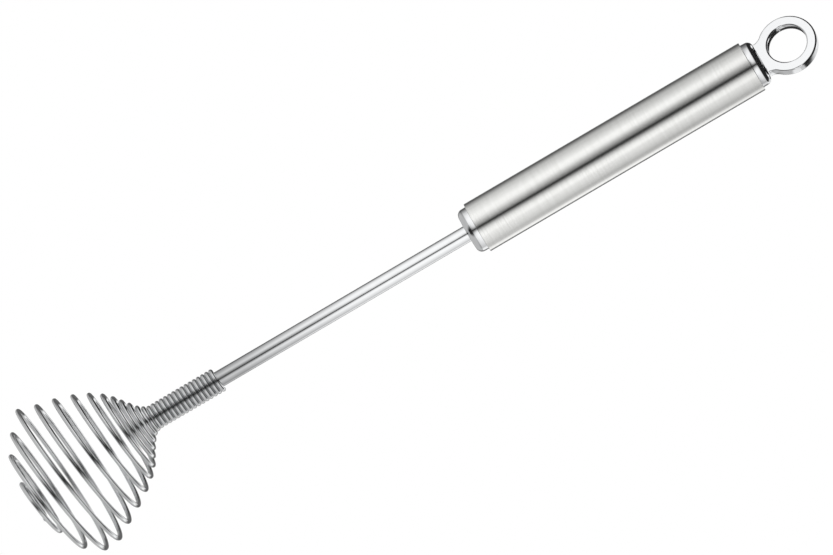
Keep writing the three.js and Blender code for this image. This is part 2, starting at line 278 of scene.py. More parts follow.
class WhiskFinishes(bpy.types.PropertyGroup):
    """Colours of the steels, the floor and the flags."""

    tube_colour: FloatVectorProperty(
        name="Tube", description="Colour of the brushed tube", default=linear("#F2F2F0"), size=4, min=0,
        max=1, subtype="COLOR")
    tube_streak: FloatVectorProperty(
        name="Tube Streaks", description="Colour of the darker brush lines", default=linear("#EBEBE8"),
        size=4, min=0, max=1, subtype="COLOR")
    polished_colour: FloatVectorProperty(
        name="Polished", description="Colour of the caps, the eye and the shaft", default=linear("#EBECED"),
        size=4, min=0, max=1, subtype="COLOR")
    wire_colour: FloatVectorProperty(
        name="Wire", description="Colour of the drawn wire", default=linear("#EAEBEC"), size=4, min=0, max=1,
        subtype="COLOR")
    weld_colour: FloatVectorProperty(
        name="Weld", description="Colour of the weld metal", default=linear("#8F8B86"), size=4, min=0, max=1,
        subtype="COLOR")
    weld_tint: FloatVectorProperty(
        name="Weld Tint", description="Straw colour that the heat leaves", default=linear("#9A7F55"), size=4,
        min=0, max=1, subtype="COLOR")
    floor_colour: FloatVectorProperty(
        name="Floor", description="Colour of the studio floor", default=linear("#F1F1F0"), size=4, min=0,
        max=1, subtype="COLOR")
    flag_colour: FloatVectorProperty(
        name="Flags", description="Colour of the flags' velvet", default=linear("#141414"), size=4, min=0,
        max=1, subtype="COLOR")
    flag_nap: FloatVectorProperty(
        name="Flag Nap", description="Colour where the velvet's pile lies over", default=linear("#262626"),
        size=4, min=0, max=1, subtype="COLOR")


class WhiskStageSizes(bpy.types.PropertyGroup):
    """Places and sizes of the camera, the floor, the light tent, its flags and the lamp."""

    azimuth: FloatProperty(
        name="Azimuth", description="Camera's bearing round the tool, where 0 looks along +Y",
        default=math.radians(28.5), subtype="ANGLE")
    elevation: FloatProperty(
        name="Elevation", description="Camera's height angle at the picture's middle",
        default=math.radians(2.5), subtype="ANGLE")
    slant: FloatProperty(
        name="Slant", description="Angle of the tool's axis above level in the picture",
        default=math.radians(30.41), subtype="ANGLE")
    distance: FloatProperty(
        name="Distance", description="Camera's distance from the picture's middle", default=2.75,
        unit="LENGTH")
    width: FloatProperty(
        name="Picture Width", description="Width that the picture covers at its middle", default=0.2466,
        unit="LENGTH", precision=4)
    aim_along: FloatProperty(
        name="Aim Along", description="Height on the tool's axis of the picture's middle", default=-0.1295,
        unit="LENGTH", precision=4)
    aim_across: FloatProperty(
        name="Aim Across",
        description="Distance of the picture's middle from the axis, to the camera's right", default=0.0036,
        unit="LENGTH", precision=4)
    floor_drop: FloatProperty(
        name="Floor Drop", description="Height that the tool hangs above the floor", default=0.07,
        unit="LENGTH")
    floor_radius: FloatProperty(
        name="Floor Radius", description="Radius of the round floor", default=0.42, unit="LENGTH")
    tent_radius: FloatProperty(
        name="Tent Radius", description="Radius of the light tent that the steel mirrors", default=0.8,
        unit="LENGTH")
    flag_radius: FloatProperty(
        name="Flag Radius", description="Radius of the black flag that keeps the softbox off the eye",
        default=0.038, unit="LENGTH", precision=4)
    flag_gap: FloatProperty(
        name="Flag Gap", description="Height of the black flag above the eye", default=0.006, unit="LENGTH",
        precision=4)
    flag_front: FloatProperty(
        name="Flag Front", description="Distance of the black flag's middle before the eye", default=0.026,
        unit="LENGTH", precision=4)
    back_flag_radius: FloatProperty(
        name="Back Flag Radius", description="Radius of the small flag that keeps the eye's hole dark",
        default=0.012, unit="LENGTH", precision=4)
    back_flag_gap: FloatProperty(
        name="Back Flag Gap", description="Distance of the small flag's near edge behind the eye",
        default=0.005, unit="LENGTH", precision=4)
    tent_level: FloatProperty(
        name="Tent Level", description="Brightness of the tent's white walls", default=1.14)
    fill_level: FloatProperty(
        name="Fill Level", description="Brightness of the room's soft light on the floor", default=0.6)
    lamp_power: FloatProperty(
        name="Lamp Power", description="Power of the soft lamp over the floor", default=14.0, unit="POWER")
    lamp_size: FloatProperty(
        name="Lamp Size", description="Diameter of the soft lamp", default=0.7, unit="LENGTH")
    lamp_place: FloatVectorProperty(
        name="Lamp Place", description="Place of the soft lamp", default=(-0.35, -0.3, 0.75),
        subtype="TRANSLATION")
    clip_start: FloatProperty(
        name="Clip Start", description="Nearest distance that the camera shows", default=0.05, unit="LENGTH")


def deselect():
    """Leaves no object selected, so that an operator acts on the new piece alone."""
    bpy.ops.object.select_all(action="DESELECT")


def name_piece(name):
    """Names the object that was just added, with its place in its mesh."""
    piece = bpy.context.object
    piece.name = name
    piece.data.name = name
    bpy.ops.object.transform_apply(location=True, rotation=True, scale=True)
    return piece


def choose(piece, kind, test):
    """In edit mode, selects the vertices, edges or faces of a piece that pass a test."""
    bpy.ops.mesh.select_mode(type=kind)
    bpy.ops.mesh.select_all(action="DESELECT")
    mesh = bmesh.from_edit_mesh(piece.data)
    for element in {"VERT": mesh.verts, "EDGE": mesh.edges, "FACE": mesh.faces}[kind]:
        if test(element):
            element.select_set(True)
    mesh.select_flush_mode()
    bmesh.update_edit_mesh(piece.data)


def edge_at_height(z):
    """A test for edges that lie level at a height."""
    return lambda edge: all(abs(vertex.co.z - z) < TOUCH for vertex in edge.verts)


def face_at_height(z):
    """A test for faces that lie level at a height."""
    return lambda face: all(abs(vertex.co.z - z) < TOUCH for vertex in face.verts)


def apply_modifier(piece, kind, **settings):
    """Adds a modifier with its settings and applies it."""
    bpy.ops.object.modifier_add(type=kind)
    modifier = piece.modifiers[-1]
    for name, value in settings.items():
        setattr(modifier, name, value)
    bpy.ops.object.modifier_apply(modifier=modifier.name)


def round_edges(piece, width):
    """Rounds a piece's sharp edges, and keeps its flat faces flat in the shading."""
    bpy.ops.object.shade_smooth_by_angle(angle=SMOOTH_ANGLE)
    apply_modifier(
        piece, "BEVEL", width=width, segments=EDGE_STEPS, limit_method="ANGLE", angle_limit=SHARP_ANGLE,
        harden_normals=True)


def dress(piece, material, node):
    """Gives a finished piece its material, and puts it in a CAD node's place on the handle."""
    piece.data.materials.clear()
    piece.data.materials.append(material)
    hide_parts(node)
    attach(piece, "handle")


def add_node(tree, kind, sockets=None, links=None, **settings):
    """Adds a shader node with its settings, its sockets' values and its links from other nodes' outputs."""
    node = tree.nodes.new(kind)
    for name, value in settings.items():
        setattr(node, name, value)
    for socket, value in (sockets or {}).items():
        node.inputs[socket].default_value = value
    for socket, source in (links or {}).items():
        tree.links.new(source, node.inputs[socket])
    return node


def new_tree(block):
    """An emptied node tree for a material or a world."""
    block.use_nodes = True
    block.node_tree.nodes.clear()
    return block.node_tree


def brushed_steel(finish):
    """Stainless tube, ground with a fine belt while it turned.

    The eye sees soft grey reflections that stay crisp across the tube and smear along it, with faint lines
    round it. Real belt lines are about 0.05 mm apart, too fine to show, so they are drawn 0.2 mm apart.
    """
    line_spacing = 0.2 * MM
    line_length = 14 * MM
    material = bpy.data.materials.new("brushed stainless steel")
    tree = new_tree(material)
    coords = add_node(tree, "ShaderNodeTexCoord")
    brushing = add_node(
        tree, "ShaderNodeMapping", {"Scale": (1 / line_length, 1 / line_length, 1 / line_spacing)},
        {"Vector": coords.outputs["Object"]})
    lines = add_node(
        tree, "ShaderNodeTexNoise", {"Scale": 1.0, "Detail": 3.0, "Roughness": 0.6},
        {"Vector": brushing.outputs["Vector"]})
    colour = add_node(tree, "ShaderNodeValToRGB", links={"Fac": lines.outputs["Fac"]})
    colour.color_ramp.elements[0].position = 0.25
    colour.color_ramp.elements[0].color = finish.tube_streak
    colour.color_ramp.elements[1].position = 0.6
    colour.color_ramp.elements[1].color = finish.tube_colour
    roughness = add_node(
        tree, "ShaderNodeMapRange", {"From Min": 0.3, "From Max": 0.7, "To Min": 0.17, "To Max": 0.15},
        {"Value": lines.outputs["Fac"]})
    grooves = add_node(
        tree, "ShaderNodeBump", {"Strength": 0.05, "Distance": 0.01 * MM}, {"Height": lines.outputs["Fac"]})
    around = add_node(tree, "ShaderNodeTangent", direction_type="RADIAL", axis="Z")
    steel = add_node(
        tree, "ShaderNodeBsdfPrincipled", {"Metallic": 1.0, "Anisotropic": 0.9, "Anisotropic Rotation": 0.25},
        {"Base Color": colour.outputs["Color"], "Roughness": roughness.outputs["Result"],
         "Normal": grooves.outputs["Normal"], "Tangent": around.outputs["Tangent"]})
    add_node(tree, "ShaderNodeOutputMaterial", links={"Surface": steel.outputs["BSDF"]})
    return material


def polished_steel(finish):
    """Stainless steel, buffed bright on a cloth wheel.

    The eye sees clear reflections with hard dark edges, a slight unevenness that bends them, and patches of
    buffing haze a few millimetres wide.
    """
    haze_width = 4 * MM
    ripple_width = 2.5 * MM
    material = bpy.data.materials.new("polished stainless steel")
    tree = new_tree(material)
    coords = add_node(tree, "ShaderNodeTexCoord")
    haze = add_node(
        tree, "ShaderNodeTexNoise", {"Scale": 1 / haze_width, "Detail": 4.0},
        {"Vector": coords.outputs["Object"]})
    roughness = add_node(
        tree, "ShaderNodeMapRange", {"From Min": 0.35, "From Max": 0.7, "To Min": 0.08, "To Max": 0.13},
        {"Value": haze.outputs["Fac"]})
    ripple = add_node(
        tree, "ShaderNodeTexNoise", {"Scale": 1 / ripple_width, "Detail": 1.0},
        {"Vector": coords.outputs["Object"]})
    bending = add_node(
        tree, "ShaderNodeBump", {"Strength": 0.2, "Distance": 0.01 * MM}, {"Height": ripple.outputs["Fac"]})
    steel = add_node(
        tree, "ShaderNodeBsdfPrincipled", {"Metallic": 1.0, "Base Color": finish.polished_colour},
        {"Roughness": roughness.outputs["Result"], "Normal": bending.outputs["Normal"]})
    add_node(tree, "ShaderNodeOutputMaterial", links={"Surface": steel.outputs["BSDF"]})
    return material


def drawn_wire(finish):
    """Hard stainless spring wire, drawn bright through a die.

    The eye sees a silver strand with a dark line along it, a little sharper than on the polished caps, and
    slight changes of sheen about a centimetre long where the die held more or less grease.
    """
    sheen_length = 9 * MM
    material = bpy.data.materials.new("drawn spring wire")
    tree = new_tree(material)
    coords = add_node(tree, "ShaderNodeTexCoord")
    sheen = add_node(
        tree, "ShaderNodeTexNoise", {"Scale": 1 / sheen_length, "Detail": 3.0},
        {"Vector": coords.outputs["Object"]})
    roughness = add_node(
        tree, "ShaderNodeMapRange", {"From Min": 0.3, "From Max": 0.7, "To Min": 0.03, "To Max": 0.06},
        {"Value": sheen.outputs["Fac"]})
    steel = add_node(
        tree, "ShaderNodeBsdfPrincipled", {"Metallic": 1.0, "Base Color": finish.wire_colour},
        {"Roughness": roughness.outputs["Result"]})
    add_node(tree, "ShaderNodeOutputMaterial", links={"Surface": steel.outputs["BSDF"]})
    return material


def weld_bead(finish):
    """Stainless weld metal inside the caps, left as it cooled.

    The eye sees dull grey metal in ripples about a millimetre apart, with straw-coloured heat tint between.
    """
    ripple_width = 1.0 * MM
    material = bpy.data.materials.new("weld bead")
    tree = new_tree(material)
    coords = add_node(tree, "ShaderNodeTexCoord")
    ripple = add_node(
        tree, "ShaderNodeTexNoise", {"Scale": 1 / ripple_width, "Detail": 3.0},
        {"Vector": coords.outputs["Object"]})
    colour = add_node(tree, "ShaderNodeValToRGB", links={"Fac": ripple.outputs["Fac"]})
    colour.color_ramp.elements[0].position = 0.35
    colour.color_ramp.elements[0].color = finish.weld_tint
    colour.color_ramp.elements[1].position = 0.6
    colour.color_ramp.elements[1].color = finish.weld_colour
    lumps = add_node(
        tree, "ShaderNodeBump", {"Strength": 0.6, "Distance": 0.1 * MM}, {"Height": ripple.outputs["Fac"]})
    steel = add_node(
        tree, "ShaderNodeBsdfPrincipled", {"Metallic": 1.0, "Roughness": 0.5},
        {"Base Color": colour.outputs["Color"], "Normal": lumps.outputs["Normal"]})
    add_node(tree, "ShaderNodeOutputMaterial", links={"Surface": steel.outputs["BSDF"]})
    return material


SHARED = {}


def shared_material(make, finish):
    """The material that a function makes, made once for all the pieces that share it."""
    name = make.__name__
    if name not in SHARED:
        SHARED[name] = make(finish)
    return SHARED[name]


class WHISK_OT_make_tube(bpy.types.Operator):
    """Model the brushed tube of the handle"""

    bl_idname = "whisk.make_tube"
    bl_label = "Make Tube"

    def execute(self, context):
        sizes = context.scene.whisk_handle
        low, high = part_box("handle_tube")
        deselect()
        bpy.ops.mesh.primitive_cylinder_add(
            vertices=ROUND_SIDES, radius=high[0], depth=high[2] - low[2], end_fill_type="NOTHING",
            location=(0, 0, (low[2] + high[2]) / 2))
        tube = name_piece("tube_brushed")
        apply_modifier(tube, "SOLIDIFY", thickness=sizes.tube_wall, offset=-1.0)
        round_edges(tube, sizes.tube_lip)
        steel = shared_material(brushed_steel, context.scene.whisk_finish)
        dress(tube, steel, "handle_tube")
        return {"FINISHED"}


def cup(name, node, face_z, open_z, mouth_z, sizes):
    """A cup that is open at open_z, left in edit mode, and the radius of its flat end at face_z.

    It is straight inside the tube's mouth, tapers a little outside it, and has a rounded edge round its end.
    """
    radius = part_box(node)[1][0]
    end_radius = radius - abs(face_z - mouth_z) * math.tan(sizes.cap_draft)
    deselect()
    bpy.ops.mesh.primitive_cylinder_add(
        vertices=ROUND_SIDES, radius=radius, depth=abs(face_z - open_z), end_fill_type="NGON",
        location=(0, 0, (face_z + open_z) / 2))
    piece = name_piece(name)
    bpy.ops.object.mode_set(mode="EDIT")
    choose(piece, "FACE", face_at_height(open_z))
    bpy.ops.mesh.delete(type="ONLY_FACE")
    bpy.ops.mesh.select_all(action="SELECT")
    bpy.ops.mesh.bisect(plane_co=(0, 0, mouth_z), plane_no=(0, 0, 1), threshold=MERGE)
    choose(piece, "FACE", face_at_height(face_z))
    bpy.ops.transform.resize(value=(end_radius / radius, end_radius / radius, 1))
    choose(piece, "EDGE", edge_at_height(face_z))
    bpy.ops.mesh.bevel(offset=sizes.cap_edge, segments=CAP_EDGE_STEPS, affect="EDGES")
    return piece, end_radius - sizes.cap_edge


class WHISK_OT_make_caps(bpy.types.Operator):
    """Model the polished caps that close the tube"""

    bl_idname = "whisk.make_caps"
    bl_label = "Make Caps"

    def execute(self, context):
        sizes = context.scene.whisk_handle
        polish = shared_material(polished_steel, context.scene.whisk_finish)

        tube_low, tube_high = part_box("handle_tube")
        low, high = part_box("front_cap")
        hole_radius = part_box("shaft")[1][0] + sizes.seat_clearance
        front, flat_radius = cup("front_cap_polished", "front_cap", low[2], high[2], tube_low[2], sizes)
        choose(front, "FACE", face_at_height(low[2]))
        bpy.ops.mesh.inset(thickness=flat_radius - hole_radius)
        bpy.ops.mesh.delete(type="ONLY_FACE")
        bpy.ops.object.mode_set(mode="OBJECT")
        apply_modifier(front, "SOLIDIFY", thickness=sizes.cap_wall, offset=-1.0)
        round_edges(front, sizes.hole_edge)
        apply_modifier(front, "WEIGHTED_NORMAL", keep_sharp=True)
        dress(front, polish, "front_cap")

        low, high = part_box("rear_cap")
        rear, _ = cup("rear_cap_polished", "rear_cap", high[2], low[2], tube_high[2], sizes)
        bpy.ops.object.mode_set(mode="OBJECT")
        apply_modifier(rear, "SOLIDIFY", thickness=sizes.cap_wall, offset=-1.0)
        slot_width = sizes.tang_width + 2 * sizes.seat_clearance
        slot_thickness = sizes.tang_thickness + 2 * sizes.seat_clearance
        slot_depth = 4 * sizes.cap_wall
        deselect()
        bpy.ops.mesh.primitive_cube_add(
            size=1, location=(0, 0, high[2]), scale=(slot_width, slot_thickness, slot_depth))
        cutter = name_piece("tang_slot")
        deselect()
        rear.select_set(True)
        context.view_layer.objects.active = rear
        apply_modifier(rear, "BOOLEAN", operation="DIFFERENCE", object=cutter)
        bpy.data.objects.remove(cutter)
        round_edges(rear, sizes.hole_edge)
        apply_modifier(rear, "WEIGHTED_NORMAL", keep_sharp=True)
        dress(rear, polish, "rear_cap")
        return {"FINISHED"}


class WHISK_OT_make_eye(bpy.types.Operator):
    """Model the flat hanging eye with its ring, neck and tang"""

    bl_idname = "whisk.make_eye"
    bl_label = "Make Eye"

    def execute(self, context):
        sizes = context.scene.whisk_handle
        low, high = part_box("hanging_eye")
        ring_radius = high[2]
        thickness = high[1] - low[1]
        half_neck = sizes.eye_neck / 2
        fillet_x = half_neck + sizes.eye_fillet
        fillet_z = -math.sqrt((ring_radius + sizes.eye_fillet) ** 2 - fillet_x ** 2)
        shoulder_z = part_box("rear_cap")[1][2] + sizes.seat_clearance
        spare_z = shoulder_z - thickness
        meet = Vector((fillet_x, fillet_z)).normalized() * ring_radius
        turn = math.atan2(-fillet_z, fillet_x)

        # The ring's outer edge, open below where the fillets start
        deselect()
        bpy.ops.mesh.primitive_circle_add(
            vertices=EYE_SIDES, radius=ring_radius, fill_type="NGON", location=(0, low[1], 0),
            rotation=(math.pi / 2, 0, 0))
        eye = name_piece("eye_polished")
        bpy.ops.object.mode_set(mode="EDIT")
        bpy.ops.mesh.select_all(action="SELECT")
        bpy.ops.mesh.bisect(
            plane_co=(0, 0, meet.y), plane_no=(0, 0, 1), clear_inner=True, threshold=MERGE)
        bpy.ops.mesh.select_all(action="SELECT")
        bpy.ops.mesh.delete(type="ONLY_FACE")
        choose(eye, "EDGE", edge_at_height(meet.y))
        bpy.ops.mesh.delete(type="EDGE")

        # Both fillets are spun round their own middles, and the neck runs down past its shoulder
        for side in (1, -1):
            choose(eye, "VERT", lambda v: abs(v.co.z - meet.y) < TOUCH and v.co.x * side > 0)
            bpy.ops.mesh.spin(
                steps=FILLET_STEPS, angle=side * turn, center=(side * fillet_x, low[1], fillet_z),
                axis=(0, 1, 0))
        choose(eye, "VERT", lambda v: abs(v.co.z - fillet_z) < TOUCH)
        bpy.ops.mesh.extrude_region_move(TRANSFORM_OT_translate={"value": (0, 0, spare_z - fillet_z)})
        choose(eye, "VERT", lambda v: abs(v.co.z - spare_z) < TOUCH)
        bpy.ops.mesh.edge_face_add()

        # The hole's edge, the face between the two edges, and the plate's thickness
        bpy.ops.mesh.select_all(action="DESELECT")
        bpy.ops.mesh.primitive_circle_add(
            vertices=EYE_SIDES, radius=sizes.eye_hole / 2, location=(0, low[1], 0),
            rotation=(math.pi / 2, 0, 0))
        bpy.ops.mesh.select_mode(type="EDGE")
        bpy.ops.mesh.select_all(action="SELECT")
        bpy.ops.mesh.fill(use_beauty=True)
        bpy.ops.mesh.select_all(action="SELECT")
        bpy.ops.mesh.extrude_region_move(TRANSFORM_OT_translate={"value": (0, thickness, 0)})
        bpy.ops.mesh.select_all(action="SELECT")
        bpy.ops.mesh.normals_make_consistent(inside=False)

        # A border round both faces keeps the rounding of their rims clear of the wide flat
        choose(eye, "FACE", lambda face: abs(face.normal.y) > FLAT_FACING)
        bpy.ops.mesh.inset(thickness=EYE_BORDER * sizes.eye_edge)
        choose(eye, "EDGE", lambda edge: edge.calc_face_angle() > SHARP_ANGLE and abs(
            edge.verts[0].co.y - edge.verts[1].co.y) < TOUCH)
        bpy.ops.mesh.bevel(offset=sizes.eye_edge, segments=EDGE_STEPS, affect="EDGES")

        # The neck is cut off at its shoulder, and the thinner tang goes on from there
        bpy.ops.mesh.select_all(action="SELECT")
        bpy.ops.mesh.bisect(
            plane_co=(0, 0, shoulder_z), plane_no=(0, 0, 1), clear_inner=True, use_fill=True, threshold=MERGE)
        choose(eye, "FACE", face_at_height(shoulder_z))
        bpy.ops.mesh.extrude_region_move(TRANSFORM_OT_translate={"value": (0, 0, 0)})
        bpy.ops.transform.resize(
            value=(sizes.tang_width / sizes.eye_neck, sizes.tang_thickness / thickness, 1))
        bpy.ops.mesh.extrude_region_move(TRANSFORM_OT_translate={"value": (0, 0, low[2] - shoulder_z)})
        bpy.ops.mesh.select_all(action="SELECT")
        bpy.ops.mesh.normals_make_consistent(inside=False)
        bpy.ops.object.mode_set(mode="OBJECT")
        bpy.ops.object.shade_smooth_by_angle(angle=SMOOTH_ANGLE)
        apply_modifier(eye, "WEIGHTED_NORMAL", keep_sharp=True)
        polish = shared_material(polished_steel, context.scene.whisk_finish)
        dress(eye, polish, "hanging_eye")
        return {"FINISHED"}


class WHISK_OT_make_shaft(bpy.types.Operator):
    """Model the solid shaft with its chamfered ends"""

    bl_idname = "whisk.make_shaft"
    bl_label = "Make Shaft"

    def execute(self, context):
        sizes = context.scene.whisk_handle
        low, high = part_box("shaft")
        deselect()
        bpy.ops.mesh.primitive_cylinder_add(
            vertices=SHAFT_SIDES, radius=high[0], depth=high[2] - low[2],
            location=(0, 0, (low[2] + high[2]) / 2))
        shaft = name_piece("shaft_polished")
        bpy.ops.object.mode_set(mode="EDIT")
        for end_z in (low[2], high[2]):
            choose(shaft, "EDGE", edge_at_height(end_z))
            bpy.ops.mesh.bevel(offset=sizes.shaft_chamfer, segments=EDGE_STEPS, affect="EDGES")
        bpy.ops.object.mode_set(mode="OBJECT")
        bpy.ops.object.shade_smooth_by_angle(angle=SMOOTH_ANGLE)
        apply_modifier(shaft, "WEIGHTED_NORMAL", keep_sharp=True)
        polish = shared_material(polished_steel, context.scene.whisk_finish)
        dress(shaft, polish, "shaft")
        return {"FINISHED"}


def station_before(stations, turn):
    """The number of the station that a turn comes after, short of the last one."""
    later = [k for k, (place, _) in enumerate(stations) if place > turn]
    return max(0, later[0] - 1) if later else len(stations) - 2


def straight_at(stations, turn):
    """The size at a turn on straight lines between (turn, size) stations."""
    k = station_before(stations, turn)
    (start, start_size), (end, end_size) = stations[k], stations[k + 1]
    share = max(0.0, (turn - start) / (end - start))
    return start_size + (end_size - start_size) * share


def smooth_at(stations, turn):
    """The size at a turn on a smooth curve through (turn, size) stations."""
    k = station_before(stations, turn)
    (start, start_size), (end, end_size) = stations[k], stations[k + 1]
    slopes = []
    for n in (k, k + 1):
        before = stations[max(0, n - 1)]
        after = stations[min(len(stations) - 1, n + 1)]
        slopes.append((after[1] - before[1]) / (after[0] - before[0]))
    span = end - start
    share = (turn - start) / span
    rise = share * share * (3 - 2 * share)
    pull = share * (1 - share) ** 2 * span * slopes[0] + share ** 2 * (share - 1) * span * slopes[1]
    return start_size + (end_size - start_size) * rise + pull


def winding(wire):
    """The wire's middle line from its top end on the shaft to its tip.

    Turns count from the shaft's end, with those on the shaft below zero. The helix is right-handed, and its
    own axis leans over more and more below the shaft.
    """
    grip_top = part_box("whisk_spiral")[1][2] - wire.diameter / 2
    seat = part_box("shaft")[1][0] + wire.diameter / 2 + TOUCH
    radii = (
        (0, seat), (1, wire.neck), (2, wire.flare_root), (5, wire.flare), (9, wire.shoulder),
        (10, wire.upper_bell), (11, wire.bell), (12, wire.nose), (13, wire.nose_inner), (14, wire.tip_turn),
        (14.5, wire.tip_loop),
    )
    pitches = (
        (0, wire.grip_pitch), (2, wire.flare_pitch), (5, wire.flare_pitch), (8.5, wire.bell_pitch),
        (12, wire.bell_pitch), (14.5, wire.tip_pitch),
    )
    sways = [(turn, share * wire.sway) for turn, share in SWAY_SHARES]
    last_turn = radii[-1][0]
    lean_side = Vector((math.cos(wire.bearing), math.sin(wire.bearing), 0))
    across_side = Vector((-lean_side.y, lean_side.x, 0))
    turns = [step / GRIP_STEPS - wire.grip_turns for step in range(int(wire.grip_turns * GRIP_STEPS))]
    turns += [step / BELL_STEPS for step in range(int(last_turn * BELL_STEPS) + 1)]
    axis_point = Vector((0, 0, grip_top))
    previous = turns[0]
    points = []
    for turn in turns:
        lean = wire.lean * math.sin(math.pi / 2 * max(0.0, turn / last_turn))
        advance = (turn - previous) * straight_at(pitches, (turn + previous) / 2)
        previous = turn
        axis_point += advance * (lean_side * math.sin(lean) - Vector((0, 0, math.cos(lean))))
        radius = smooth_at(radii, turn) if turn > 0 else seat
        angle = math.pi * (1 - 2 * turn)
        outward = lean_side * math.cos(angle) * math.cos(lean) + across_side * math.sin(angle)
        outward.z = math.cos(angle) * math.sin(lean)
        hang = smooth_at(sways, turn) if turn > 0 else 0
        points.append(axis_point + radius * outward + hang * lean_side)
    return points


class WHISK_OT_wind_wire(bpy.types.Operator):
    """Wind the springy wire on the shaft and out into the bell"""

    bl_idname = "whisk.wind_wire"
    bl_label = "Wind Wire"

    def execute(self, context):
        wire = context.scene.whisk_wire
        points = winding(wire)
        deselect()
        bpy.ops.curve.primitive_nurbs_path_add()
        strand = name_piece("wire_drawn")
        route = strand.data
        route.splines.clear()
        spline = route.splines.new("POLY")
        spline.points.add(len(points) - 1)
        for place, point in zip(spline.points, points):
            place.co = (*point, 1)
        route.dimensions = "3D"
        route.bevel_depth = wire.diameter / 2
        route.bevel_resolution = WIRE_ROUNDING
        route.use_fill_caps = True
        bpy.ops.object.convert(target="MESH")
        strand = context.object
        bpy.ops.object.mode_set(mode="EDIT")
        bpy.ops.mesh.select_all(action="SELECT")
        bpy.ops.mesh.remove_doubles(threshold=MERGE)
        bpy.ops.mesh.normals_make_consistent(inside=False)
        bpy.ops.object.mode_set(mode="OBJECT")
        bpy.ops.object.shade_smooth_by_angle(angle=SMOOTH_ANGLE)
        strand.data.materials.clear()
        strand.data.materials.append(shared_material(drawn_wire, context.scene.whisk_finish))
        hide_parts("whisk_spiral")
        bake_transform(strand)
        return {"FINISHED"}


class WHISK_OT_dress_welds(bpy.types.Operator):
    """Give the welds inside the caps their own finish"""

    bl_idname = "whisk.dress_welds"
    bl_label = "Dress Welds"

    def execute(self, context):
        bead = shared_material(weld_bead, context.scene.whisk_finish)
        for node in ("eye_weld", "shaft_weld"):
            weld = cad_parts[node]
            weld.data.materials.clear()
            weld.data.materials.append(bead)
        return {"FINISHED"}


def tent_cloth(stage):
    """The light tent: white cloth panels with dark gaps, which draw the dark lines in the steel.

    White walls stand round the tool on a grey table, with a dark opening for the camera and a dark gap under
    it. A lit panel stands higher up behind the tool, a round softbox hangs over it, and the rest above is
    dark.
    """
    material = bpy.data.materials.new("light tent")
    tree = new_tree(material)
    coords = add_node(tree, "ShaderNodeTexCoord")
    towards = add_node(
        tree, "ShaderNodeMapping",
        {"Rotation": (0, 0, math.pi / 2 - stage.azimuth), "Scale": (1 / stage.tent_radius,) * 3},
        {"Vector": coords.outputs["Object"]})
    bearing = add_node(
        tree, "ShaderNodeTexGradient", links={"Vector": towards.outputs["Vector"]}, gradient_type="RADIAL")
    heights = add_node(tree, "ShaderNodeSeparateXYZ", links={"Vector": towards.outputs["Vector"]})
    height = add_node(tree, "ShaderNodeMath", links={0: heights.outputs["Z"]}, operation="ARCSINE")
    rise = add_node(
        tree, "ShaderNodeMapRange", {"From Min": -math.pi / 2, "From Max": math.pi / 2},
        {"Value": height.outputs["Value"]})
    nearness = add_node(
        tree, "ShaderNodeVectorMath", {1: SOFTBOX_MIDDLE}, {0: towards.outputs["Vector"]},
        operation="DOT_PRODUCT")
    away = add_node(tree, "ShaderNodeMath", links={0: nearness.outputs["Value"]}, operation="ARCCOSINE")
    share = add_node(tree, "ShaderNodeMapRange", {"From Max": math.pi}, {"Value": away.outputs["Value"]})
    sources = {
        "round": (bearing.outputs["Fac"], 0.5, 360),
        "rise": (rise.outputs["Result"], 0.5, 180),
        "softbox": (share.outputs["Result"], 0.0, 180),
    }
    panels = []
    for panel in (OPENING, WALLS, TABLE, FRONT_GAP, SIDES, BACK, SOFTBOX):
        level = None
        for name, stops in panel.items():
            source, start, span = sources[name]
            ramp = add_node(tree, "ShaderNodeValToRGB", links={"Fac": source})
            first, last = ramp.color_ramp.elements
            first.color = (stops[0][1],) * 3 + (1,)
            last.color = (stops[-1][1],) * 3 + (1,)
            for angle, stop_level in stops[1:-1]:
                ramp.color_ramp.elements.new(start + angle / span).color = (stop_level,) * 3 + (1,)
            level = ramp.outputs["Color"] if level is None else add_node(
                tree, "ShaderNodeMath", links={0: level, 1: ramp.outputs["Color"]}, operation="MULTIPLY",
            ).outputs["Value"]
        panels.append(level)
    opening, walls, table, front_gap, sides, back, softbox = panels
    closed = add_node(tree, "ShaderNodeMath", {0: 1.0}, {1: opening}, operation="SUBTRACT")
    round_walls = add_node(
        tree, "ShaderNodeMath", links={0: closed.outputs["Value"], 1: walls, 2: table},
        operation="MULTIPLY_ADD")
    lit = add_node(tree, "ShaderNodeMath", {0: 1.0}, {1: front_gap}, operation="SUBTRACT")
    below = add_node(
        tree, "ShaderNodeMath", links={0: lit.outputs["Value"], 1: round_walls.outputs["Value"], 2: sides},
        operation="MULTIPLY_ADD")
    above = add_node(tree, "ShaderNodeMath", links={0: back, 1: softbox}, operation="MAXIMUM")
    total = add_node(
        tree, "ShaderNodeMath", links={0: below.outputs["Value"], 1: above.outputs["Value"]}, operation="ADD")
    strength = add_node(
        tree, "ShaderNodeMath", {1: stage.tent_level}, {0: total.outputs["Value"]}, operation="MULTIPLY")
    glow = add_node(tree, "ShaderNodeEmission", links={"Strength": strength.outputs["Value"]})
    add_node(tree, "ShaderNodeOutputMaterial", links={"Surface": glow.outputs["Emission"]})
    material.cycles.emission_sampling = "NONE"
    return material


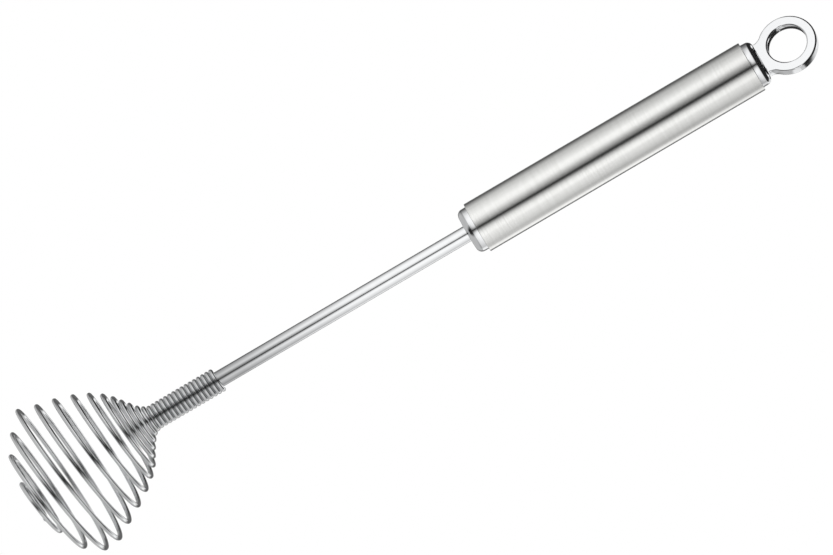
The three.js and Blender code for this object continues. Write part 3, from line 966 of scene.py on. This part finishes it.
def studio_world(stage):
    """The room: white to the camera and to mirrors, and a soft light on the floor."""
    world = bpy.data.worlds.new("studio")
    tree = new_tree(world)
    ray = add_node(tree, "ShaderNodeLightPath")
    seen = add_node(
        tree, "ShaderNodeMath", links={0: ray.outputs["Is Camera Ray"], 1: ray.outputs["Is Glossy Ray"]},
        operation="ADD")
    shown = add_node(
        tree, "ShaderNodeMath", links={0: seen.outputs["Value"], 1: ray.outputs["Is Transmission Ray"]},
        operation="ADD", use_clamp=True)
    strength = add_node(
        tree, "ShaderNodeMapRange", {"To Min": stage.fill_level, "To Max": 1.0},
        {"Value": shown.outputs["Value"]})
    background = add_node(
        tree, "ShaderNodeBackground", {"Color": (1, 1, 1, 1)}, {"Strength": strength.outputs["Result"]})
    add_node(tree, "ShaderNodeOutputWorld", links={"Surface": background.outputs["Background"]})
    return world


def floor_card(finish):
    """Pale matt card, with the faint mottle of its fibres."""
    fibre = 3 * MM
    material = bpy.data.materials.new("pale card floor")
    tree = new_tree(material)
    coords = add_node(tree, "ShaderNodeTexCoord")
    mottle = add_node(
        tree, "ShaderNodeTexNoise", {"Scale": 1 / fibre, "Detail": 3.0}, {"Vector": coords.outputs["Object"]})
    roughness = add_node(
        tree, "ShaderNodeMapRange", {"To Min": 0.75, "To Max": 0.95}, {"Value": mottle.outputs["Fac"]})
    card = add_node(
        tree, "ShaderNodeBsdfPrincipled", {"Base Color": finish.floor_colour},
        {"Roughness": roughness.outputs["Result"]})
    add_node(tree, "ShaderNodeOutputMaterial", links={"Surface": card.outputs["BSDF"]})
    return material


def flag_cloth(finish):
    """Black velvet, whose pile leaves only a trace of uneven grey."""
    pile = 2 * MM
    material = bpy.data.materials.new("black velvet")
    tree = new_tree(material)
    coords = add_node(tree, "ShaderNodeTexCoord")
    nap = add_node(
        tree, "ShaderNodeTexNoise", {"Scale": 1 / pile, "Detail": 2.0}, {"Vector": coords.outputs["Object"]})
    shade = add_node(tree, "ShaderNodeValToRGB", links={"Fac": nap.outputs["Fac"]})
    shade.color_ramp.elements[0].color = finish.flag_colour
    shade.color_ramp.elements[1].color = finish.flag_nap
    velvet = add_node(
        tree, "ShaderNodeBsdfPrincipled", {"Roughness": 1.0}, {"Base Color": shade.outputs["Color"]})
    add_node(tree, "ShaderNodeOutputMaterial", links={"Surface": velvet.outputs["BSDF"]})
    return material


class WHISK_OT_set_stage(bpy.types.Operator):
    """Set the floor, the light tent with its flags, the lamp and the camera"""

    bl_idname = "whisk.set_stage"
    bl_label = "Set Stage"

    def execute(self, context):
        scene = context.scene
        stage = scene.whisk_stage
        middle = (CAD_BOX[0] + CAD_BOX[1]) / 2
        scene.view_settings.view_transform = "Standard"
        scene.world = studio_world(stage)

        floor_z = CAD_BOX[0].z - stage.floor_drop
        deselect()
        bpy.ops.mesh.primitive_circle_add(
            vertices=ROUND_SIDES, radius=stage.floor_radius, fill_type="NGON", location=(0, 0, floor_z))
        floor = name_piece("floor")
        floor.data.materials.append(floor_card(scene.whisk_finish))
        floor.visible_glossy = False

        deselect()
        bpy.ops.mesh.primitive_uv_sphere_add(
            segments=TENT_SIDES, ring_count=TENT_RINGS, radius=stage.tent_radius)
        tent = context.object
        tent.name = "light_tent"
        tent.location = middle
        tent.data.materials.append(tent_cloth(stage))

        velvet = flag_cloth(scene.whisk_finish)
        top_place = (0, -stage.flag_front, CAD_BOX[1].z + stage.flag_gap)
        back_place = (-stage.back_flag_radius / 2, stage.back_flag_gap + stage.back_flag_radius, 0)
        flags = []
        for name, radius, place in (
            ("top_flag", stage.flag_radius, top_place),
            ("back_flag", stage.back_flag_radius, back_place),
        ):
            deselect()
            bpy.ops.mesh.primitive_circle_add(
                vertices=ROUND_SIDES, radius=radius, fill_type="NGON", location=place)
            flag = name_piece(name)
            flag.data.materials.append(velvet)
            flags.append(flag)
        for card in (tent, *flags):
            card.visible_camera = False
            card.visible_diffuse = False
            card.visible_transmission = False
            card.visible_shadow = False

        deselect()
        bpy.ops.object.light_add(type="AREA", location=stage.lamp_place)
        lamp = context.object
        lamp.name = "soft_lamp"
        lamp.data.shape = "DISK"
        lamp.data.size = stage.lamp_size
        lamp.data.energy = stage.lamp_power
        lamp.rotation_euler = (lamp.location - Vector((0, 0, floor_z))).to_track_quat("Z", "Y").to_euler()
        lamp.visible_glossy = False

        back = Vector((
            math.sin(stage.azimuth) * math.cos(stage.elevation),
            -math.cos(stage.azimuth) * math.cos(stage.elevation),
            math.sin(stage.elevation)))
        right = Vector((math.cos(stage.azimuth), math.sin(stage.azimuth), 0))
        aim = Vector((0, 0, stage.aim_along)) + right * stage.aim_across
        roll = math.pi / 2 - stage.slant
        upright = (-back).to_track_quat("-Z", "Y").to_matrix()
        bpy.ops.object.camera_add()
        camera = context.object
        camera.name = "photo_camera"
        camera.matrix_world = Matrix.Translation(aim + back * stage.distance) @ (
            upright @ Matrix.Rotation(roll, 3, "Z")).to_4x4()
        camera.data.lens = camera.data.sensor_width * stage.distance / stage.width
        camera.data.clip_start = stage.clip_start
        scene.camera = camera
        return {"FINISHED"}


class WHISK_PT_panel(bpy.types.Panel):
    """Sizes, colours and steps of the spiral whisk"""

    bl_idname = "WHISK_PT_panel"
    bl_label = "Spiral Whisk"
    bl_space_type = "VIEW_3D"
    bl_region_type = "UI"
    bl_category = "Whisk"

    def draw(self, context):
        layout = self.layout
        for group_name in PROPERTY_GROUPS:
            group = getattr(context.scene, group_name)
            column = layout.box().column(align=True)
            for name in group.bl_rna.properties.keys():
                if name not in ("rna_type", "name"):
                    column.prop(group, name)
        for operator in OPERATORS:
            layout.operator(operator.bl_idname)


PROPERTY_GROUPS = {
    "whisk_handle": WhiskHandleSizes,
    "whisk_wire": WhiskWireSizes,
    "whisk_finish": WhiskFinishes,
    "whisk_stage": WhiskStageSizes,
}
OPERATORS = (
    WHISK_OT_make_tube,
    WHISK_OT_make_caps,
    WHISK_OT_make_eye,
    WHISK_OT_make_shaft,
    WHISK_OT_wind_wire,
    WHISK_OT_dress_welds,
    WHISK_OT_set_stage,
)


def register():
    for group_name, group in PROPERTY_GROUPS.items():
        bpy.utils.register_class(group)
        setattr(bpy.types.Scene, group_name, PointerProperty(type=group))
    for operator in OPERATORS:
        bpy.utils.register_class(operator)
    bpy.utils.register_class(WHISK_PT_panel)


def unregister():
    bpy.utils.unregister_class(WHISK_PT_panel)
    for operator in reversed(OPERATORS):
        bpy.utils.unregister_class(operator)
    for group_name, group in reversed(PROPERTY_GROUPS.items()):
        delattr(bpy.types.Scene, group_name)
        bpy.utils.unregister_class(group)


def main():
    """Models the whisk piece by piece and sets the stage."""
    register()
    bpy.ops.whisk.make_tube()
    bpy.ops.whisk.make_caps()
    bpy.ops.whisk.make_eye()
    bpy.ops.whisk.make_shaft()
    bpy.ops.whisk.wind_wire()
    bpy.ops.whisk.dress_welds()
    bpy.ops.whisk.set_stage()


if __name__ == "__main__":
    main()
